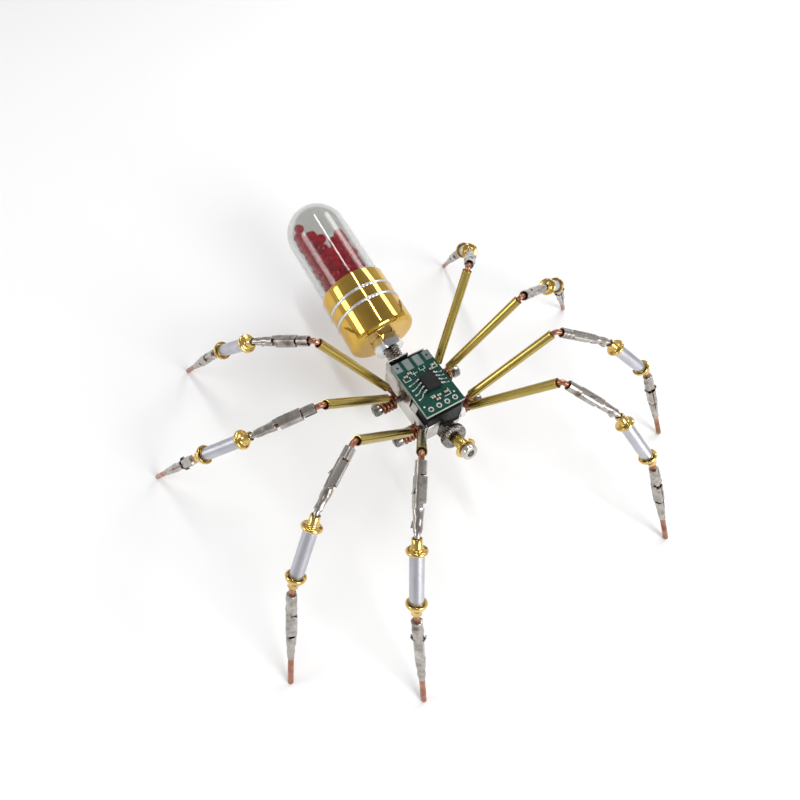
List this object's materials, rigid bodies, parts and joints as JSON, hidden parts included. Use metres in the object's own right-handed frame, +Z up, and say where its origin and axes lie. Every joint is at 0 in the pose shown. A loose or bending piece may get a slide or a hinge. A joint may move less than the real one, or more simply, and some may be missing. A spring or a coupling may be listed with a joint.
{
  "type": "wire-jointed spider sculpture",
  "caption": "Posable spider sculpture: wire-jointed legs of brass tube, crimp terminals and spacers on a connector-shell thorax, with a domed bead-filled abdomen.",
  "frame": {"origin": "centre of the spider's footprint box, on the table that its feet stand on", "axes": "+X forwards out of the head, +Y to the spider's left, +Z up"},
  "size_m": [0.1358, 0.1448, 0.0469],
  "materials": {
    "nickel_sheet": "bright nickel sheet",
    "nickel_terminal": "tarnished nickel plate",
    "black_plastic": "matte",
    "green_board": "glossy solder mask",
    "solder": "bright tinned",
    "dark_steel": "dark, oily steel",
    "bright_steel": "plated, polished",
    "copper_wire": "bare copper, a little oxidised",
    "gold_cap": "polished gold plate",
    "clear_glass": "clear, polished",
    "red_beads": "deep red, faceted",
    "brass_tube": "drawn brass, dull with age",
    "brass_eyelet": "bright brass",
    "satin_aluminium": "satin"
  },
  "bodies": {
    "body": {"thorax_shell": "nickel_sheet", "thorax_block": "black_plastic", "board_pad": "black_plastic", "circuit_board": "green_board", "board_chip": "black_plastic", "board_parts": "solder", "cross_rods": "dark_steel", "rod_nuts": "bright_steel", "hip_wires": "copper_wire", "abdomen_stud": "dark_steel", "abdomen_nut": "bright_steel", "abdomen_cap": "gold_cap", "cap_rings": "solder", "glass_dome": "clear_glass", "beads": "red_beads", "head_screw": "bright_steel", "head_nut": "bright_steel", "head_knurled_ring": "dark_steel", "head_sleeve": "brass_tube", "head_flange": "brass_tube"},
    "femur_l1": {"femur_tube_l1": "brass_tube"},
    "tibia_l1": {"tibia_terminal_l1": "nickel_terminal"},
    "shank_l1": {"spacer_l1": "satin_aluminium", "eyelets_l1": "brass_eyelet"},
    "foot_l1": {"foot_terminal_l1": "nickel_terminal"},
    "femur_l2": {"femur_tube_l2": "brass_tube"},
    "tibia_l2": {"tibia_terminal_l2": "nickel_terminal"},
    "shank_l2": {"spacer_l2": "satin_aluminium", "eyelets_l2": "brass_eyelet"},
    "foot_l2": {"foot_terminal_l2": "nickel_terminal"},
    "femur_l3": {"femur_tube_l3": "brass_tube"},
    "tibia_l3": {"tibia_terminal_l3": "nickel_terminal"},
    "shank_l3": {"spacer_l3": "satin_aluminium", "eyelets_l3": "brass_eyelet"},
    "foot_l3": {"foot_terminal_l3": "nickel_terminal"},
    "femur_l4": {"femur_tube_l4": "brass_tube"},
    "tibia_l4": {"tibia_terminal_l4": "nickel_terminal"},
    "shank_l4": {"spacer_l4": "satin_aluminium", "eyelets_l4": "brass_eyelet"},
    "foot_l4": {"foot_terminal_l4": "nickel_terminal"},
    "femur_r1": {"femur_tube_r1": "brass_tube"},
    "tibia_r1": {"tibia_terminal_r1": "nickel_terminal"},
    "shank_r1": {"spacer_r1": "satin_aluminium", "eyelets_r1": "brass_eyelet"},
    "foot_r1": {"foot_terminal_r1": "nickel_terminal"},
    "femur_r2": {"femur_tube_r2": "brass_tube"},
    "tibia_r2": {"tibia_terminal_r2": "nickel_terminal"},
    "shank_r2": {"spacer_r2": "satin_aluminium", "eyelets_r2": "brass_eyelet"},
    "foot_r2": {"foot_terminal_r2": "nickel_terminal"},
    "femur_r3": {"femur_tube_r3": "brass_tube"},
    "tibia_r3": {"tibia_terminal_r3": "nickel_terminal"},
    "shank_r3": {"spacer_r3": "satin_aluminium", "eyelets_r3": "brass_eyelet"},
    "foot_r3": {"foot_terminal_r3": "nickel_terminal"},
    "femur_r4": {"femur_tube_r4": "brass_tube"},
    "tibia_r4": {"tibia_terminal_r4": "nickel_terminal"},
    "shank_r4": {"spacer_r4": "satin_aluminium", "eyelets_r4": "brass_eyelet"},
    "foot_r4": {"foot_terminal_r4": "nickel_terminal"}
  },
  "joints": [
    {"name": "hip_l1", "type": "hinge", "parent": "body", "child": "femur_l1", "pos_m": [0.0119, 0.0082, 0.0202], "axis": [0.6293, -0.7771, 0], "range_deg": [-20, 20]},
    {"name": "knee_l1", "type": "hinge", "parent": "femur_l1", "child": "tibia_l1", "pos_m": [0.02633, 0.01988, 0.04313], "axis": [-0.6494, 0.7602, 0.0213], "range_deg": [-20, 20]},
    {"name": "ankle_l1", "type": "hinge", "parent": "tibia_l1", "child": "shank_l1", "pos_m": [0.03822, 0.03022, 0.03676], "axis": [-0.6982, 0.4715, -0.5387], "range_deg": [-20, 20]},
    {"name": "heel_l1", "type": "hinge", "parent": "shank_l1", "child": "foot_l1", "pos_m": [0.05133, 0.03662, 0.02537], "axis": [-0.5602, 0.8057, -0.1923], "range_deg": [-20, 20]},
    {"name": "hip_l2", "type": "hinge", "parent": "body", "child": "femur_l2", "pos_m": [0.0093, 0.0098, 0.0204], "axis": [0.9744, -0.225, 0], "range_deg": [-20, 20]},
    {"name": "knee_l2", "type": "hinge", "parent": "femur_l2", "child": "tibia_l2", "pos_m": [0.01374, 0.02903, 0.04232], "axis": [-0.91, 0.3851, -0.1535], "range_deg": [-20, 20]},
    {"name": "ankle_l2", "type": "hinge", "parent": "tibia_l2", "child": "shank_l2", "pos_m": [0.02079, 0.04348, 0.03679], "axis": [-0.8308, 0.2073, -0.5166], "range_deg": [-20, 20]},
    {"name": "heel_l2", "type": "hinge", "parent": "shank_l2", "child": "foot_l2", "pos_m": [0.03032, 0.05526, 0.02618], "axis": [-0.8403, 0.5066, -0.193], "range_deg": [-20, 20]},
    {"name": "hip_l3", "type": "hinge", "parent": "body", "child": "femur_l3", "pos_m": [-0.0011, 0.0098, 0.0204], "axis": [0.9877, -0.1564, 0], "range_deg": [-20, 20]},
    {"name": "knee_l3", "type": "hinge", "parent": "femur_l3", "child": "tibia_l3", "pos_m": [0.00161, 0.02693, 0.04427], "axis": [-0.9632, -0.1544, 0.2202], "range_deg": [-20, 20]},
    {"name": "ankle_l3", "type": "hinge", "parent": "tibia_l3", "child": "shank_l3", "pos_m": [-0.00252, 0.04136, 0.03628], "axis": [-0.9493, -0.1092, 0.2947], "range_deg": [-20, 20]},
    {"name": "heel_l3", "type": "hinge", "parent": "shank_l3", "child": "foot_l3", "pos_m": [-0.00758, 0.05524, 0.02515], "axis": [-0.8845, -0.4419, -0.1497], "range_deg": [-20, 20]},
    {"name": "hip_l4", "type": "hinge", "parent": "body", "child": "femur_l4", "pos_m": [-0.0037, 0.0082, 0.0204], "axis": [0.809, 0.5878, 0], "range_deg": [-20, 20]},
    {"name": "knee_l4", "type": "hinge", "parent": "femur_l4", "child": "tibia_l4", "pos_m": [-0.01211, 0.01977, 0.0462], "axis": [-0.7327, -0.6774, 0.0651], "range_deg": [-20, 12]},
    {"name": "ankle_l4", "type": "hinge", "parent": "tibia_l4", "child": "shank_l4", "pos_m": [-0.02241, 0.03007, 0.03745], "axis": [-0.7869, -0.3626, 0.4993], "range_deg": [-20, 20]},
    {"name": "heel_l4", "type": "hinge", "parent": "shank_l4", "child": "foot_l4", "pos_m": [-0.03381, 0.03776, 0.02507], "axis": [-0.6988, -0.6803, 0.2209], "range_deg": [-20, 20]},
    {"name": "hip_r1", "type": "hinge", "parent": "body", "child": "femur_r1", "pos_m": [0.0124, -0.0076, 0.0202], "axis": [-0.6691, -0.7431, 0], "range_deg": [-20, 20]},
    {"name": "knee_r1", "type": "hinge", "parent": "femur_r1", "child": "tibia_r1", "pos_m": [0.02529, -0.0192, 0.04407], "axis": [0.5881, 0.8054, 0.074], "range_deg": [-20, 20]},
    {"name": "ankle_r1", "type": "hinge", "parent": "tibia_r1", "child": "shank_r1", "pos_m": [0.03874, -0.02862, 0.03967], "axis": [0.6012, 0.7822, 0.1636], "range_deg": [-20, 20]},
    {"name": "heel_r1", "type": "hinge", "parent": "shank_r1", "child": "foot_r1", "pos_m": [0.05029, -0.03476, 0.02659], "axis": [0.6604, 0.7077, 0.2509], "range_deg": [-20, 20]},
    {"name": "hip_r2", "type": "hinge", "parent": "body", "child": "femur_r2", "pos_m": [0.0106, -0.0098, 0.0202], "axis": [-0.9781, -0.2079, 0], "range_deg": [-20, 20]},
    {"name": "knee_r2", "type": "hinge", "parent": "femur_r2", "child": "tibia_r2", "pos_m": [0.01478, -0.02948, 0.04177], "axis": [0.8313, 0.4814, 0.2779], "range_deg": [-20, 20]},
    {"name": "ankle_r2", "type": "hinge", "parent": "tibia_r2", "child": "shank_r2", "pos_m": [0.0239, -0.04352, 0.03882], "axis": [0.8431, 0.5336, 0.0661], "range_deg": [-20, 20]},
    {"name": "heel_r2", "type": "hinge", "parent": "shank_r2", "child": "foot_r2", "pos_m": [0.03172, -0.05429, 0.02597], "axis": [0.9021, 0.1978, 0.3834], "range_deg": [-20, 20]},
    {"name": "hip_r3", "type": "hinge", "parent": "body", "child": "femur_r3", "pos_m": [-0.0011, -0.0096, 0.0202], "axis": [-0.9848, -0.1736, 0], "range_deg": [-20, 20]},
    {"name": "knee_r3", "type": "hinge", "parent": "femur_r3", "child": "tibia_r3", "pos_m": [0.00265, -0.03085, 0.04032], "axis": [0.953, -0.102, -0.2851], "range_deg": [-20, 20]},
    {"name": "ankle_r3", "type": "hinge", "parent": "tibia_r3", "child": "shank_r3", "pos_m": [-0.00047, -0.04689, 0.03563], "axis": [0.8439, -0.0074, -0.5364], "range_deg": [-20, 20]},
    {"name": "heel_r3", "type": "hinge", "parent": "shank_r3", "child": "foot_r3", "pos_m": [-0.0075, -0.0601, 0.02476], "axis": [0.8921, -0.1147, -0.4371], "range_deg": [-20, 20]},
    {"name": "hip_r4", "type": "hinge", "parent": "body", "child": "femur_r4", "pos_m": [-0.0037, -0.008, 0.0204], "axis": [-0.8988, 0.4384, 0], "range_deg": [-20, 20]},
    {"name": "knee_r4", "type": "hinge", "parent": "femur_r4", "child": "tibia_r4", "pos_m": [-0.01184, -0.02469, 0.04333], "axis": [0.7449, -0.6368, -0.1991], "range_deg": [-20, 20]},
    {"name": "ankle_r4", "type": "hinge", "parent": "tibia_r4", "child": "shank_r4", "pos_m": [-0.02306, -0.03591, 0.03723], "axis": [0.751, -0.5898, -0.2969], "range_deg": [-20, 20]},
    {"name": "heel_r4", "type": "hinge", "parent": "shank_r4", "child": "foot_r4", "pos_m": [-0.03414, -0.04367, 0.02462], "axis": [0.7637, -0.5554, -0.3292], "range_deg": [-20, 20]}
  ]
}
